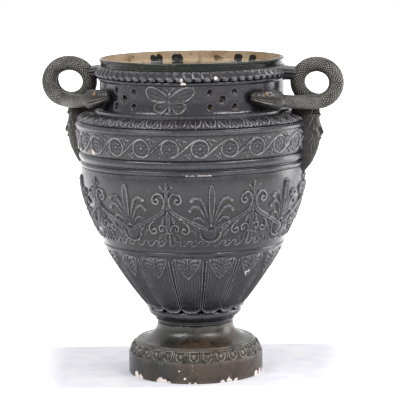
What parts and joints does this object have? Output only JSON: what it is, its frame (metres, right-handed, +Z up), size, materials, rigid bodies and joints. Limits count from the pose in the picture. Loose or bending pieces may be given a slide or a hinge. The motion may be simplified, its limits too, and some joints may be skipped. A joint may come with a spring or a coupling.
{
  "type": "perfume burner vase",
  "caption": "Footed black-glazed urn with a pierced neck, coiled-snake handles over masks, and a lift-out burner pan.",
  "frame": {"origin": "centre of the foot's resting face", "axes": "+Z up along the vase's axis, -Y to the front butterfly, +X to the right handle"},
  "size_m": [0.4081, 0.3097, 0.422],
  "materials": {
    "black_glaze": "thin satin-gloss black glaze over relief, greyer on the crests",
    "olive_glaze": "satin black glaze with olive-brown recesses",
    "snake_glaze": "satin black glaze over fine scales, rubbed lighter on the ridges",
    "brown_black_glaze": "brownish black glaze, chipped to pale clay along the bottom edge",
    "rim_glaze_and_bare_clay": "bare tan clay inside, dark green-black gloss outside",
    "pan_brass": "dull tarnished brass with soot",
    "iron": "dull wrought iron",
    "amber_eye": "glossy amber glaze",
    "plaster_bed": "matt plaster"
  },
  "bodies": {
    "vase": {"foot": "brown_black_glaze", "egg_band": "brown_black_glaze", "bedding_ring": "plaster_bed", "stem_collar": "black_glaze", "tie_bolt": "iron", "tie_nut": "iron", "upper_washer": "iron", "lower_washer": "iron", "fluted_bowl": "black_glaze", "belly": "black_glaze", "shoulder": "black_glaze", "leaf_moulding": "black_glaze", "neck_gallery": "black_glaze", "gadroon_lip": "black_glaze", "rim_collar": "rim_glaze_and_bare_clay", "right_snake": "snake_glaze", "right_snake_head": "snake_glaze", "right_mask": "olive_glaze", "right_lip_bracket": "black_glaze", "left_snake": "snake_glaze", "left_snake_head": "snake_glaze", "left_mask": "olive_glaze", "left_lip_bracket": "black_glaze", "right_snake_eye_1": "amber_eye", "right_snake_eye_2": "amber_eye", "left_snake_eye_1": "amber_eye", "left_snake_eye_2": "amber_eye", "palmette_1": "olive_glaze", "lyre_1": "olive_glaze", "palmette_2": "olive_glaze", "lyre_2": "olive_glaze", "palmette_3": "olive_glaze", "lyre_3": "olive_glaze", "palmette_4": "olive_glaze", "lyre_4": "olive_glaze", "palmette_5": "olive_glaze", "lyre_5": "olive_glaze", "palmette_6": "olive_glaze", "lyre_6": "olive_glaze", "palmette_7": "olive_glaze", "lyre_7": "olive_glaze", "palmette_8": "olive_glaze", "lyre_8": "olive_glaze", "front_rosette_frieze": "black_glaze", "back_rosette_frieze": "black_glaze", "front_butterfly": "olive_glaze", "back_butterfly": "olive_glaze"},
    "pan": {"burner_pan": "pan_brass"}
  },
  "joints": [
    {"name": "pan_lift", "type": "slide", "parent": "vase", "child": "pan", "axis": [0, 0, 1], "range_m": [0, 0.135]}
  ]
}
